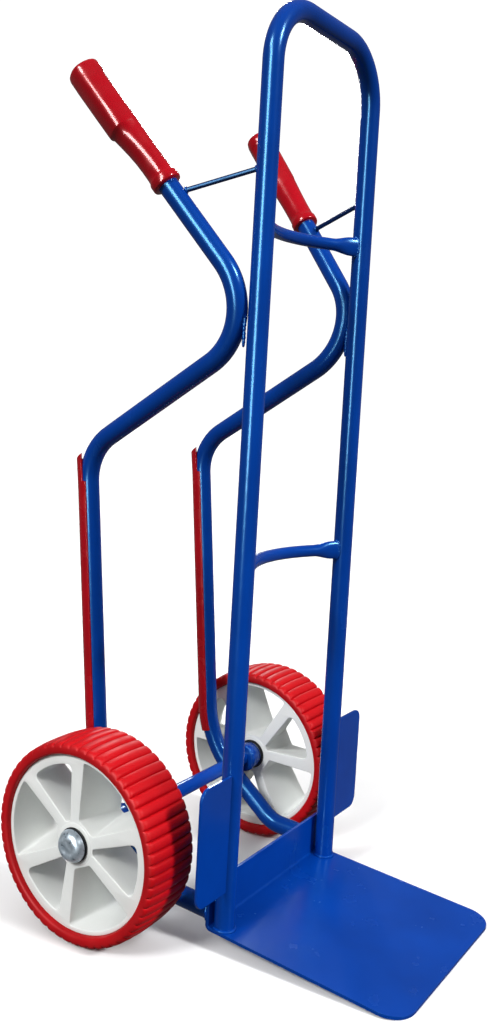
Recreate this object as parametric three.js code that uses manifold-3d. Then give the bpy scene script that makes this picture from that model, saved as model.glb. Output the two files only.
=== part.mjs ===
// A hand truck of bent steel tube with curved handles, a toe plate and two spoked wheels. Millimetres.
//
// The truck is drawn square to its uprights: X across, +Y to the rear, Z up along the uprights.
// A last group leans it until the wheels and the front edge of the toe plate stand on the floor.

import * as THREE from "three";
import { mergeVertices } from "three/addons/utils/BufferGeometryUtils.js";
import { ConvexGeometry } from "three/addons/geometries/ConvexGeometry.js";
import Module from "manifold-3d";

const wasm = await Module();
wasm.setup();

// ---- driving dimensions ----

const GAP = 0.3; // air between pieces that touch
const TUBE_R = 12.7; // one inch steel tube
const TUBE_WALL = 2.3;

const UPRIGHT_FOOT_X = 126.6; // half the spacing of the uprights at the foot
const UPRIGHT_TOP_X = 124.1;
const ARCH_Z = 1120.4;
const ARCH_BEND_R = 73;

const SIDE_X = 128; // the side tubes lie behind the uprights
const HANDLE_FLARE = 0.23; // sideways per unit of height, above the touching point
const HANDLE_CORNER = { y: -14, z: 751, bend: 82 };
const ELBOW_CORNER = { y: 250.6, z: 580.2, bend: 68 };
const RAIL_CORNER = { y: 206.5, z: 125.5, bend: 133 };
const HEEL_CORNER = { y: 88.3, z: 34.5, bend: 46 };
const RAIL_FOOT = { y: 12.5, z: 31.3 };
const HANDLE_RUN_Y = 289; // the handle's straight run, from its corner
const HANDLE_RUN_Z = 360.8;
const HANDLE_TUBE_END = 372; // along the handle from its corner, inside the grip

const WHEEL_R = 127;
const WHEEL_Y = 152.2;
const WHEEL_Z = 111.7;
const TYRE_INNER_X = 158.3;
const TYRE_OUTER_X = 241.1;
const TYRE_CROWN = 2.4; // the tread is this much lower at its edges
const TYRE_SHOULDER_R = 4.6;
const RIM_R = 110;
const RIM_INSET = 6.6; // rim faces behind the tyre's sides
const HUB_R = 27;
const HUB_INNER_X = 164.2;
const HUB_OUTER_X = 235.2;
const HUB_BORE_R = 12.9;
const BUSH_LENGTH = 20;
const BUSH_FLANGE_R = 21.3;
const BUSH_FLANGE_THICK = 1.8;
const WASHER_R = 18;
const WASHER_THICK = 1.6;
const AXLE_R = 10;
const AXLE_END_X = 243;
const SLEEVE_R = 19;
const CAP_R = 20.3;
const CAP_HEIGHT = 10;
const CAP_WALL = 1.6;
const POCKET_TURN = { left: 63.4, right: 89.3 }; // degrees round the wheel to an outer pocket

const PLATE_HALF_WIDTH = 141;
const PLATE_FRONT_Y = -246.2;
const PLATE_RISE = 0.0585; // the plate climbs to the rear
const PLATE_THICK = 4;
const PLATE_CORNER_R = 32;
const PLATE_BEND_R = 3; // inside the bend
const FLANGE_Y = 14.2; // front face of the upturned flange
const FLANGE_TOP_Z = 68.5;

const GUARD_OUTER_X = 200.4;
const GUARD_INNER_X = 139.5;
const GUARD_Z = [66, 212];
const GUARD_FRONT_Y = -8;
const GUARD_THICK = 4;
const GUARD_CORNER_R = 15;

const CROSSBAR_R = 8;
const CROSSBAR_BOW = 36;
const CROSSBAR_Y = 3; // at its ends
const CROSSBAR_END_X = 111;
const CROSSBAR_TONGUE = { height: 24, thick: 9, from: 84, neck: 16 };
const CROSSBAR_Z = { upper_crossbar: 868.3, lower_crossbar: 456.3 };

const STRUT_R = 3.1;
const STRUT_UPRIGHT_Z = 930;
const STRUT_HANDLE_AT = 191; // along the handle from its corner

const GRIP_START = 204; // along the handle from its corner
const GRIP_LENGTH = 179;
const GRIP_SWELL_SHIFT = 4.5;

const SKID_Z = [148, 578]; // foot and top of the skid strip
const SKID_TOP_CUT = 10; // its top slopes down to the rear by this much
const SKID_R = 15.6; // the strip is a round channel that clips on from behind
const SKID_THINNING = 1; // its lips are thinner than its back by about this much
const SKID_WRAP = 21.5; // degrees that its lips reach round past the tube's sides
const SKID_LIP_Z = 541; // above this the lips are cut away to clear the bend
const RIVET_Z = [205, 535];
const RIVET_R = 2;
const RIVET_HEAD_R = 4.4;
const RIVET_HEAD_HEIGHT = 1.3;
const COUNTERBORE = { radius: 4.9, depth: 0.9 };

const PAINT = new THREE.MeshStandardMaterial({ color: 0x0a3fa6, roughness: 0.22, metalness: 0.1 });
const DARK_PAINT = new THREE.MeshStandardMaterial({ color: 0x0a1c3c, roughness: 0.35, metalness: 0.2 });
const RED_PLASTIC = new THREE.MeshStandardMaterial({ color: 0xc20a1c, roughness: 0.3, metalness: 0 });
const RED_TYRE = new THREE.MeshStandardMaterial({ color: 0xc8131b, roughness: 0.5, metalness: 0 });
const WHITE_PLASTIC = new THREE.MeshStandardMaterial({ color: 0xe6e8ea, roughness: 0.4, metalness: 0 });
const NYLON = new THREE.MeshStandardMaterial({ color: 0x2b2d30, roughness: 0.5, metalness: 0 });
const ZINC = new THREE.MeshStandardMaterial({ color: 0x8b96a0, roughness: 0.35, metalness: 0.9 });

// ---- tools ----

const SIDES = { left: -1, right: 1 };

function named(name, geometry, material) {
  const mesh = new THREE.Mesh(geometry, material);
  mesh.name = name;
  return mesh;
}

// The geometry with its faces turned outwards, holding positions only.
function outward(geometry) {
  const bare = geometry.index ? geometry.toNonIndexed() : geometry.clone();
  bare.deleteAttribute("normal");
  bare.deleteAttribute("uv");
  const merged = mergeVertices(bare, 1e-3);
  if (solidOf(merged).volume() < 0) {
    const index = merged.index.array;
    for (let i = 0; i < index.length; i += 3) {
      [index[i + 1], index[i + 2]] = [index[i + 2], index[i + 1]];
    }
  }
  return merged;
}

function solidOf(geometry) {
  return new wasm.Manifold(
    new wasm.Mesh({
      numProp: 3,
      vertProperties: new Float32Array(geometry.attributes.position.array),
      triVerts: new Uint32Array(geometry.index.array),
    }),
  );
}

function geometryOf(solid) {
  const mesh = solid.getMesh();
  const geometry = new THREE.BufferGeometry();
  geometry.setAttribute("position", new THREE.BufferAttribute(mesh.vertProperties, 3));
  geometry.setIndex(new THREE.BufferAttribute(mesh.triVerts, 1));
  return geometry;
}

function cut(body, ...tools) {
  const left = tools.reduce((rest, tool) => rest.subtract(solidOf(outward(tool))), solidOf(outward(body)));
  return geometryOf(left);
}

function join(...bodies) {
  return geometryOf(bodies.map((b) => solidOf(outward(b))).reduce((sum, b) => sum.add(b)));
}

function circle(radius) {
  return new THREE.Shape().absarc(0, 0, radius, 0, 2 * Math.PI);
}

function ring(outerRadius, innerRadius) {
  const shape = circle(outerRadius);
  shape.holes.push(new THREE.Path().absarc(0, 0, innerRadius, 0, 2 * Math.PI));
  return shape;
}

// A rectangle from (x0, y0) to (x1, y1) with a radius on the corners named in round.
function roundedRectangle(x0, y0, x1, y1, radius, round) {
  const shape = new THREE.Shape();
  const corners = [
    { x: x0, y: y0, turn: 180, round: round.includes("bottom left") },
    { x: x1, y: y0, turn: 270, round: round.includes("bottom right") },
    { x: x1, y: y1, turn: 0, round: round.includes("top right") },
    { x: x0, y: y1, turn: 90, round: round.includes("top left") },
  ];
  shape.moveTo(x0, (y0 + y1) / 2);
  for (const corner of corners) {
    if (corner.round) {
      const cx = corner.x + (corner.x === x0 ? radius : -radius);
      const cy = corner.y + (corner.y === y0 ? radius : -radius);
      const from = THREE.MathUtils.degToRad(corner.turn);
      shape.lineTo(cx + radius * Math.cos(from), cy + radius * Math.sin(from));
      shape.absarc(cx, cy, radius, from, from + Math.PI / 2);
    } else {
      shape.lineTo(corner.x, corner.y);
    }
  }
  shape.closePath();
  return shape;
}

// A closed ring or a solid of revolution about Y, from [radius, height] points.
function turned(profile, segments) {
  return new THREE.LatheGeometry(profile.map(([r, y]) => new THREE.Vector2(r, y)), segments);
}

// A plain rod between two points.
function rod(from, to, radius, segments) {
  const along = to.clone().sub(from);
  const geometry = new THREE.CylinderGeometry(radius, radius, along.length(), segments);
  const turn = new THREE.Quaternion().setFromUnitVectors(new THREE.Vector3(0, 1, 0), along.normalize());
  geometry.applyQuaternion(turn);
  const middle = from.clone().add(to).multiplyScalar(0.5);
  return geometry.translate(middle.x, middle.y, middle.z);
}

const BEND_STEP = THREE.MathUtils.degToRad(16);

// Points round a bend of the given radius at a corner of a path.
function bendPoints(before, corner, after, radius) {
  const back = before.clone().sub(corner).normalize();
  const on = after.clone().sub(corner).normalize();
  const turn = Math.PI - back.angleTo(on);
  const inwards = back.clone().add(on).normalize();
  const sideways = on.clone().sub(back).normalize();
  const centre = corner.clone().addScaledVector(inwards, radius / Math.cos(turn / 2));
  const steps = Math.ceil(turn / BEND_STEP);
  return Array.from({ length: steps + 1 }, (_, i) => {
    const angle = turn * (i / steps - 0.5);
    return centre
      .clone()
      .addScaledVector(inwards, -radius * Math.cos(angle))
      .addScaledVector(sideways, radius * Math.sin(angle));
  });
}

// A polyline that an extrusion follows point by point, so straight runs take one step.
class StepPath extends THREE.Curve {
  constructor(points) {
    super();
    this.points = points;
    this.steps = points.length - 1;
  }

  getPointAt(u, target = new THREE.Vector3()) {
    return target.copy(this.points[Math.round(u * this.steps)]);
  }

  getTangentAt(u, target = new THREE.Vector3()) {
    const i = Math.round(u * this.steps);
    const heading = (a, b) => this.points[b].clone().sub(this.points[a]).normalize();
    target.set(0, 0, 0);
    if (i > 0) target.add(heading(i - 1, i));
    if (i < this.steps) target.add(heading(i, i + 1));
    return target.normalize();
  }
}

// Corners with a bend radius each, ends without one.
function bentPoints(corners) {
  return corners.flatMap(({ at, bend }, i) =>
    bend ? bendPoints(corners[i - 1].at, at, corners[i + 1].at, bend) : [at],
  );
}

const HALF_SIDES = 6; // half the sides of a tube's section

function swept(shape, points, curveSegments = HALF_SIDES) {
  const extrudePath = new StepPath(points);
  return new THREE.ExtrudeGeometry(shape, { steps: extrudePath.steps, extrudePath, curveSegments });
}

// ---- frame tubes ----

const plateTop = (y) => (y - PLATE_FRONT_Y) * PLATE_RISE;

function handlePoint(side, along) {
  const run = new THREE.Vector3(side * HANDLE_FLARE * HANDLE_RUN_Z, HANDLE_RUN_Y, HANDLE_RUN_Z);
  const corner = new THREE.Vector3(side * SIDE_X, HANDLE_CORNER.y, HANDLE_CORNER.z);
  return corner.addScaledVector(run.normalize(), along);
}

function backrestLoop() {
  const corners = [
    { at: new THREE.Vector3(-UPRIGHT_FOOT_X, 0, 0) },
    { at: new THREE.Vector3(-UPRIGHT_TOP_X, 0, ARCH_Z), bend: ARCH_BEND_R },
    { at: new THREE.Vector3(UPRIGHT_TOP_X, 0, ARCH_Z), bend: ARCH_BEND_R },
    { at: new THREE.Vector3(UPRIGHT_FOOT_X, 0, 0) },
  ];
  const tube = swept(ring(TUBE_R, TUBE_R - TUBE_WALL), bentPoints(corners));
  const footGap = 0.9; // room for the weld on the plate's bend
  const below = new THREE.Shape([
    new THREE.Vector2(-40, -60),
    new THREE.Vector2(40, -60),
    new THREE.Vector2(40, plateTop(40) + footGap),
    new THREE.Vector2(-40, plateTop(-40) + footGap),
  ]);
  return cut(tube, alongX(below, -200, 200));
}

// Extrudes an outline drawn in (y, z) along X.
function alongX(shape, from, to, curveSegments = 6) {
  const geometry = new THREE.ExtrudeGeometry(shape, {
    depth: to - from,
    bevelEnabled: false,
    curveSegments,
  });
  const basis = new THREE.Matrix4().set(0, 0, 1, from, 1, 0, 0, 0, 0, 1, 0, 0, 0, 0, 0, 1);
  return geometry.applyMatrix4(basis);
}

function sideTubePoints(side) {
  const inPlane = ({ y, z, bend }) => ({ at: new THREE.Vector3(side * SIDE_X, y, z), bend });
  return bentPoints([
    { at: handlePoint(side, HANDLE_TUBE_END) },
    inPlane(HANDLE_CORNER),
    inPlane(ELBOW_CORNER),
    inPlane(RAIL_CORNER),
    inPlane(HEEL_CORNER),
    inPlane(RAIL_FOOT),
  ]);
}

// How far to the rear the rail leans per unit of height.
function railSlope() {
  return (RAIL_CORNER.y - ELBOW_CORNER.y) / (RAIL_CORNER.z - ELBOW_CORNER.z);
}

function rivetPlaces(side) {
  const slope = railSlope();
  return RIVET_Z.map((z) => {
    const centre = new THREE.Vector3(side * SIDE_X, ELBOW_CORNER.y + slope * (z - ELBOW_CORNER.z), z);
    const rearward = new THREE.Vector3(0, 1, -slope).normalize();
    return { centre, rearward };
  });
}

function drill({ centre, rearward }, radius, from, to) {
  const start = centre.clone().addScaledVector(rearward, from);
  return rod(start, centre.clone().addScaledVector(rearward, to), radius, 12);
}

function sideTube(side) {
  const tube = swept(ring(TUBE_R, TUBE_R - TUBE_WALL), sideTubePoints(side));
  const beforeFlange = new THREE.BoxGeometry(60, 60, 80);
  beforeFlange.translate(side * SIDE_X, FLANGE_Y + PLATE_THICK + GAP - 30, RAIL_FOOT.z);
  const axleNotch = rod(
    new THREE.Vector3(side * SIDE_X - 30, WHEEL_Y, WHEEL_Z),
    new THREE.Vector3(side * SIDE_X + 30, WHEEL_Y, WHEEL_Z),
    AXLE_R + GAP,
    24,
  );
  const holes = rivetPlaces(side).map((place) => drill(place, RIVET_R + GAP / 2, 5, 30));
  return cut(tube, beforeFlange, axleNotch, ...holes);
}

// ---- crossbars and struts ----

function crossbarPoint(x, z) {
  const t = x / CROSSBAR_END_X;
  return new THREE.Vector3(x, CROSSBAR_Y + CROSSBAR_BOW * (1 - t * t), z);
}

function crossbar(z) {
  const reach = CROSSBAR_TONGUE.from + 6;
  const steps = 8;
  const points = Array.from({ length: steps + 1 }, (_, i) => crossbarPoint(reach * ((2 * i) / steps - 1), z));
  const bar = swept(circle(CROSSBAR_R), points);
  return join(bar, crossbarTongue(-1, z), crossbarTongue(1, z));
}

// The flattened end of a crossbar, drawn out from its round section to a tall thin one.
function crossbarTongue(side, z) {
  const { height, thick, from, neck } = CROSSBAR_TONGUE;
  const points = [];
  const sides = 12;
  for (let i = 0; i < sides; i++) {
    const angle = (i / sides) * 2 * Math.PI;
    const [c, s] = [Math.cos(angle), Math.sin(angle)];
    const start = crossbarPoint(side * from, z);
    points.push(start.add(new THREE.Vector3(0, CROSSBAR_R * c, CROSSBAR_R * s)));
    const middle = crossbarPoint(side * (from + neck), z);
    points.push(middle.add(new THREE.Vector3(0, 0.55 * thick * c, 0.46 * height * s)));
    const end = crossbarPoint(side * CROSSBAR_END_X, z);
    points.push(end.add(new THREE.Vector3(0, (thick / 2) * c, (height / 2) * s)));
  }
  return new ConvexGeometry(points);
}

function strut(side) {
  const upright = new THREE.Vector3(side * UPRIGHT_TOP_X, 0, STRUT_UPRIGHT_Z);
  const handle = handlePoint(side, STRUT_HANDLE_AT);
  const along = handle.clone().sub(upright).normalize();
  upright.addScaledVector(along, TUBE_R + 1.6);
  handle.addScaledVector(along, -TUBE_R - 3.6); // it meets the handle at a slant
  return rod(upright, handle, STRUT_R, 12);
}

// ---- sheet metal ----

function toePlate() {
  const slope = Math.atan(PLATE_RISE);
  const outerR = PLATE_BEND_R + PLATE_THICK;
  const flangeBack = FLANGE_Y + PLATE_THICK;
  const bendY = FLANGE_Y - PLATE_BEND_R;
  const bendZ = plateTop(bendY) + PLATE_BEND_R / Math.cos(slope);
  const down = -Math.PI / 2 + slope;
  const crease = { y: -15, rise: 0.02 }; // the load's face ends here, in front of the uprights
  const profile = new THREE.Shape();
  profile.moveTo(PLATE_FRONT_Y, 0);
  profile.lineTo(PLATE_FRONT_Y + PLATE_THICK * Math.sin(slope), -PLATE_THICK * Math.cos(slope));
  profile.absarc(bendY, bendZ, outerR, down, 0);
  profile.lineTo(flangeBack, FLANGE_TOP_Z);
  profile.lineTo(FLANGE_Y, FLANGE_TOP_Z);
  profile.absarc(bendY, bendZ, PLATE_BEND_R, 0, down, true);
  profile.lineTo(crease.y, plateTop(crease.y) + crease.rise);
  profile.closePath();
  const sheet = alongX(profile, -PLATE_HALF_WIDTH, PLATE_HALF_WIDTH);
  const outline = roundedRectangle(
    -PLATE_HALF_WIDTH,
    PLATE_FRONT_Y - 0.1,
    PLATE_HALF_WIDTH,
    flangeBack + 10,
    PLATE_CORNER_R,
    ["bottom left", "bottom right"],
  );
  const column = new THREE.ExtrudeGeometry(outline, { depth: 200, bevelEnabled: false, curveSegments: 8 });
  column.translate(0, 0, -50);
  return geometryOf(solidOf(outward(sheet)).intersect(solidOf(outward(column))));
}

function guardPlate(side) {
  const outline = roundedRectangle(GUARD_INNER_X, GUARD_Z[0], GUARD_OUTER_X, GUARD_Z[1], GUARD_CORNER_R, [
    "bottom right",
    "top right",
  ]);
  const plate = new THREE.ExtrudeGeometry(outline, {
    depth: GUARD_THICK,
    bevelEnabled: false,
    curveSegments: 6,
  });
  plate.rotateX(Math.PI / 2);
  plate.translate(0, GUARD_FRONT_Y + GUARD_THICK, 0);
  return outward(plate.scale(side, 1, 1));
}

// ---- wheels, drawn about local Y, which points away from the truck's middle ----

const WHEEL_SEGMENTS = 40;
const MIDDLE_X = (TYRE_INNER_X + TYRE_OUTER_X) / 2;
const out = (x) => x - MIDDLE_X; // height along the wheel's own axis

function tyre() {
  const half = (TYRE_OUTER_X - TYRE_INNER_X) / 2;
  const bore = RIM_R + GAP;
  const edge = half - TYRE_SHOULDER_R;
  const shoulder = [30, 60, 90].map((degrees) => {
    const angle = THREE.MathUtils.degToRad(degrees);
    const drop = TYRE_CROWN + TYRE_SHOULDER_R * (1 - Math.cos(angle));
    return [WHEEL_R - drop, edge + TYRE_SHOULDER_R * Math.sin(angle)];
  });
  const tread = [-1, -0.5, 0, 0.5, 1].map((t) => [WHEEL_R - TYRE_CROWN * t * t, edge * t]);
  const inner = shoulder.map(([r, y]) => [r, -y]).reverse();
  const profile = [[bore, -half], ...inner, ...tread, ...shoulder, [bore, half], [bore, -half]];
  return outward(turned(profile, WHEEL_SEGMENTS));
}

// Outline of an opening at the face where it is wide: radial sides, out to the rim's edge.
function wideMouth() {
  const halfAngle = THREE.MathUtils.degToRad(28.7);
  const points = [-1, 1].map((s) => [28 * Math.cos(halfAngle), s * 28 * Math.sin(halfAngle)]);
  for (let i = 0; i <= 4; i++) {
    const angle = halfAngle * (i / 2 - 1);
    points.push([104.5 * Math.cos(angle), 104.5 * Math.sin(angle)]);
  }
  return points;
}

// Outline at the face where it is narrow: a triangle with its tip at the hub and rounded corners.
function narrowMouth() {
  const points = [
    [26, -3.2],
    [26, 3.2],
  ];
  for (const s of [-1, 1]) {
    const a = THREE.MathUtils.degToRad(11);
    points.push([83, s * 29.6], [89, s * 30], [97.5 * Math.cos(a), s * 97.5 * Math.sin(a)]);
  }
  return points;
}

// Six tapered openings: each is wide at one face and narrow at the other, turn about.
function rim() {
  const faceOut = out(TYRE_OUTER_X - RIM_INSET);
  const faceIn = out(TYRE_INNER_X + RIM_INSET);
  const profile = [
    [HUB_BORE_R, out(HUB_INNER_X)],
    [HUB_R, out(HUB_INNER_X)],
    [HUB_R, faceIn],
    [RIM_R, faceIn],
    [RIM_R, faceOut],
    [HUB_R, faceOut],
    [HUB_R, out(HUB_OUTER_X)],
    [HUB_BORE_R, out(HUB_OUTER_X)],
    [HUB_BORE_R, out(HUB_INNER_X)],
  ];
  const openings = Array.from({ length: 6 }, (_, i) => {
    const wideHeight = i % 2 ? faceOut + 1 : faceIn - 1;
    const narrowHeight = i % 2 ? faceIn - 1 : faceOut + 1;
    const points = [
      ...wideMouth().map(([x, z]) => new THREE.Vector3(x, wideHeight, z)),
      ...narrowMouth().map(([x, z]) => new THREE.Vector3(x, narrowHeight, z)),
    ];
    return new ConvexGeometry(points).rotateY((i * Math.PI) / 3);
  });
  return cut(turned(profile, WHEEL_SEGMENTS), ...openings);
}

function collar(outerRadius, innerRadius, from, to) {
  const profile = [
    [innerRadius, from],
    [outerRadius, from],
    [outerRadius, to],
    [innerRadius, to],
    [innerRadius, from],
  ];
  return outward(turned(profile, 16));
}

// A bush about local Y with its flange at the end away from the wheel's middle.
function bush(bodyEnd, flangeSeat, direction) {
  const bodyR = HUB_BORE_R - GAP;
  const bore = AXLE_R + GAP;
  const outerFace = flangeSeat + direction * BUSH_FLANGE_THICK;
  const profile = [
    [bore, bodyEnd],
    [bodyR, bodyEnd],
    [bodyR, flangeSeat],
    [BUSH_FLANGE_R, flangeSeat],
    [BUSH_FLANGE_R, outerFace],
    [bore, outerFace],
    [bore, bodyEnd],
  ];
  return outward(turned(profile, 16));
}

// A pressed cap: a rounded side and a slightly dished top.
function pushCap() {
  const side = [90, 60, 30].map((degrees) => {
    const angle = THREE.MathUtils.degToRad(degrees);
    return [Math.sin(angle), Math.cos(angle)];
  });
  const topR = CAP_R / 2;
  const shell = (offset) => {
    const spread = CAP_R - topR - 1;
    const rise = CAP_HEIGHT - offset;
    const curve = side.map(([s, c]) => [topR + spread * s - offset * 0.6, rise * c]);
    return [...curve, [topR - offset * 0.6, rise], [0, rise - 0.6]];
  };
  const profile = [...shell(CAP_WALL).reverse(), [CAP_R, 0], [CAP_R, 1], ...shell(0).slice(1)];
  return outward(turned(profile, 20));
}

function wheel(name, side) {
  const spin = new THREE.Group();
  const hubIn = out(HUB_INNER_X);
  const hubOut = out(HUB_OUTER_X);
  const bore = AXLE_R + GAP;
  const washerIn = hubIn - BUSH_FLANGE_THICK - WASHER_THICK - 2 * GAP;
  const washerOut = hubOut + BUSH_FLANGE_THICK + 2 * GAP;
  spin.add(
    named(`${name}_tyre`, tyre(), RED_TYRE),
    named(`${name}_rim`, rim(), WHITE_PLASTIC),
    named(`${name}_inner_bush`, bush(hubIn + BUSH_LENGTH, hubIn - GAP, -1), NYLON),
    named(`${name}_outer_bush`, bush(hubOut - BUSH_LENGTH, hubOut + GAP, 1), NYLON),
    named(`${name}_inner_washer`, collar(WASHER_R, bore, washerIn, washerIn + WASHER_THICK), ZINC),
    named(`${name}_outer_washer`, collar(WASHER_R, bore, washerOut, washerOut + WASHER_THICK), ZINC),
  );
  const cap = named(`${name}_cap`, pushCap(), ZINC);
  cap.position.y = washerOut + WASHER_THICK + GAP;
  spin.add(cap);
  spin.rotation.y = -THREE.MathUtils.degToRad(POCKET_TURN[name]);
  const group = new THREE.Group();
  group.add(spin);
  group.position.set(side * MIDDLE_X, WHEEL_Y, WHEEL_Z);
  group.rotation.z = (-side * Math.PI) / 2;
  return group;
}

function axleSleeve(side) {
  const from = SIDE_X + TUBE_R + GAP;
  const to = HUB_INNER_X - BUSH_FLANGE_THICK - WASHER_THICK - 3 * GAP;
  const sleeve = collar(SLEEVE_R, AXLE_R + GAP, from, to);
  sleeve.rotateZ((-side * Math.PI) / 2);
  return sleeve.translate(0, WHEEL_Y, WHEEL_Z);
}

// ---- grips and skid strips ----

// A grip about local Y, which runs out along the handle; local X points down and outwards.
function grip(side) {
  const boreR = TUBE_R + GAP;
  const boreEnd = HANDLE_TUBE_END - GRIP_START + 1;
  const sleeve = turned(
    [
      [0, 0],
      [17.6, 0],
      [17.6, 4],
      [15.6, 10],
      [15.3, 48],
      [16.4, 86],
      [16.4, GRIP_LENGTH - 13],
      [18.6, GRIP_LENGTH - 9],
      [18.6, GRIP_LENGTH - 2],
      [16.6, GRIP_LENGTH],
      [0, GRIP_LENGTH],
    ],
    16,
  );
  const swell = turned(
    [
      [0, 38],
      [11, 42],
      [16.4, 84],
      [17.2, 92],
      [17.2, GRIP_LENGTH - 6],
      [15, GRIP_LENGTH - 3],
      [0, GRIP_LENGTH - 3],
    ],
    16,
  ).translate(GRIP_SWELL_SHIFT, 0, 0);
  const bore = new THREE.CylinderGeometry(boreR, boreR, boreEnd + 1, 16).translate(0, (boreEnd - 1) / 2, 0);
  const geometry = cut(join(sleeve, swell), bore);

  const along = handlePoint(side, 1).sub(handlePoint(side, 0)).normalize();
  const outwards = new THREE.Vector3(side, 0, -1.2);
  const zAxis = outwards.clone().cross(along).normalize();
  const xAxis = along.clone().cross(zAxis);
  geometry.applyMatrix4(new THREE.Matrix4().makeBasis(xAxis, along, zAxis));
  const start = handlePoint(side, GRIP_START);
  return geometry.translate(start.x, start.y, start.z);
}

// The side tube's centreline below its elbow, carried straight up past the elbow to the given height.
function skidPath(side, top, bottom) {
  const elbow = new THREE.Vector3(side * SIDE_X, ELBOW_CORNER.y, ELBOW_CORNER.z);
  const rail = new THREE.Vector3(side * SIDE_X, RAIL_CORNER.y, RAIL_CORNER.z);
  const start = elbow.lerp(rail, (elbow.z - top) / (elbow.z - rail.z));
  const points = sideTubePoints(side).filter((p) => p.z < RAIL_CORNER.z + RAIL_CORNER.bend / 2);
  const i = points.findIndex((p) => p.z < bottom);
  const [a, b] = [points[i - 1], points[i]];
  return [start, ...points.slice(0, i), a.clone().lerp(b, (a.z - bottom) / (a.z - b.z))];
}

function skidSection() {
  const wrap = THREE.MathUtils.degToRad(SKID_WRAP);
  const innerR = TUBE_R + GAP + 0.35; // clear of the flats of the tube's many-sided section
  const shape = new THREE.Shape();
  shape.absarc(0, SKID_THINNING, SKID_R - SKID_THINNING, -wrap, Math.PI + wrap);
  shape.absarc(0, 0, innerR, Math.PI + wrap, -wrap, true);
  shape.closePath();
  return shape;
}

function skidStrip(side) {
  const strip = swept(skidSection(), skidPath(side, SKID_Z[1], SKID_Z[0]), 8);
  const slope = railSlope();
  const lean = Math.atan(slope);
  const railY = (z) => ELBOW_CORNER.y + slope * (z - ELBOW_CORNER.z);
  const frontHalf = new THREE.BoxGeometry(60, 60, 80);
  frontHalf.translate(0, -30, 40).rotateX(-lean);
  frontHalf.translate(side * SIDE_X, railY(SKID_LIP_Z), SKID_LIP_Z);
  const aboveTop = new THREE.BoxGeometry(60, 90, 60);
  aboveTop.translate(0, 0, 30).rotateX(-Math.atan2(SKID_TOP_CUT, SKID_R));
  aboveTop.translate(side * SIDE_X, railY(SKID_Z[1]), SKID_Z[1]);
  const holes = rivetPlaces(side).flatMap((place) => [
    drill(place, RIVET_R + GAP / 2, 5, 30),
    drill(place, COUNTERBORE.radius, SKID_R - COUNTERBORE.depth, 30),
  ]);
  return cut(strip, frontHalf, aboveTop, ...holes);
}

function rivet({ centre, rearward }) {
  const seat = SKID_R - COUNTERBORE.depth + GAP / 2;
  const shankEnd = TUBE_R - TUBE_WALL - 3;
  const profile = [
    [0, shankEnd],
    [RIVET_R, shankEnd],
    [RIVET_R, seat],
    [RIVET_HEAD_R, seat],
    [RIVET_HEAD_R * 0.8, seat + 0.8 * RIVET_HEAD_HEIGHT],
    [0, seat + RIVET_HEAD_HEIGHT],
  ];
  const turn = new THREE.Quaternion().setFromUnitVectors(new THREE.Vector3(0, 1, 0), rearward);
  const geometry = turned(profile, 8).applyQuaternion(turn);
  return outward(geometry.translate(centre.x, centre.y, centre.z));
}

// ---- assembly ----

const truck = new THREE.Group();
truck.add(
  named("backrest_loop", backrestLoop(), PAINT),
  named("toe_plate", toePlate(), PAINT),
  named(
    "axle",
    rod(
      new THREE.Vector3(-AXLE_END_X, WHEEL_Y, WHEEL_Z),
      new THREE.Vector3(AXLE_END_X, WHEEL_Y, WHEEL_Z),
      AXLE_R,
      24,
    ),
    PAINT,
  ),
);
for (const [name, z] of Object.entries(CROSSBAR_Z)) {
  truck.add(named(name, crossbar(z), PAINT));
}
for (const [name, side] of Object.entries(SIDES)) {
  truck.add(
    named(`${name}_side_tube`, sideTube(side), PAINT),
    named(`${name}_strut`, strut(side), DARK_PAINT),
    named(`${name}_guard_plate`, guardPlate(side), PAINT),
    named(`${name}_axle_sleeve`, axleSleeve(side), PAINT),
    named(`${name}_grip`, grip(side), RED_PLASTIC),
    named(`${name}_skid_strip`, skidStrip(side), RED_PLASTIC),
    wheel(name, side),
  );
  rivetPlaces(side).forEach((place, i) => {
    truck.add(named(`${name}_${["lower", "upper"][i]}_rivet`, rivet(place), ZINC));
  });
}

// The floor is the line that touches the plate's lower front edge and the wheels.
function floorSlope() {
  const dy = WHEEL_Y - PLATE_FRONT_Y;
  const dz = WHEEL_Z + PLATE_THICK;
  return Math.asin(WHEEL_R / Math.hypot(dy, dz)) - Math.atan2(dz, dy);
}

const lean = new THREE.Group();
lean.add(truck);
lean.rotation.x = floorSlope();
const box = new THREE.Box3().setFromObject(lean, true);
lean.position.set(0, -(box.min.y + box.max.y) / 2, -box.min.z);

const handTruck = new THREE.Group();
handTruck.add(lean);

export default handTruck;
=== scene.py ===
"""A hand truck of bent steel tube: the looks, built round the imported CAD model.

Lengths are millimetres in the truck's own frame, square to its uprights: X across, +Y to the rear, Z up
along the uprights. put() leans and moves a point into the row frame, in metres. The lamps are placed in
the row frame, in metres.
"""
import math

import bmesh
import bpy
from mathutils import Matrix, Vector, geometry


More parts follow.
